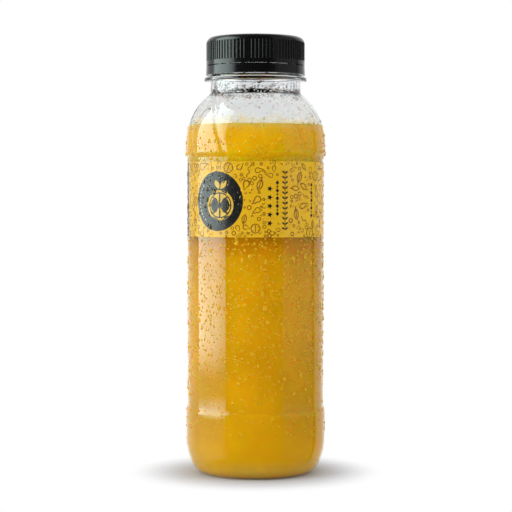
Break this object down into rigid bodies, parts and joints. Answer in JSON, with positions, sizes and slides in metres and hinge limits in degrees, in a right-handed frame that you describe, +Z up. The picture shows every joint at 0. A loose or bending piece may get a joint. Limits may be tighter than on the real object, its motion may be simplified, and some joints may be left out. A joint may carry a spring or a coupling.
{
  "type": "bottle of fruit juice",
  "caption": "Sealed clear round bottle of yellow fruit juice with a domed fluted shoulder, a wrap-round label and a ribbed screw cap with a tamper band.",
  "frame": {"origin": "middle of the foot ring, on the surface that the bottle stands on", "axes": "+Z up along the bottle's axis, -Y towards the front of the label, +X to the right of someone who faces the front"},
  "size_m": [0.0575, 0.0574, 0.1803],
  "materials": {
    "bottle": "gloss",
    "juice": "gloss",
    "label": "satin",
    "cap": "satin"
  },
  "bodies": {
    "root": {"bottle": "bottle", "juice": "juice", "label": "label", "cap": "cap"}
  },
  "joints": []
}
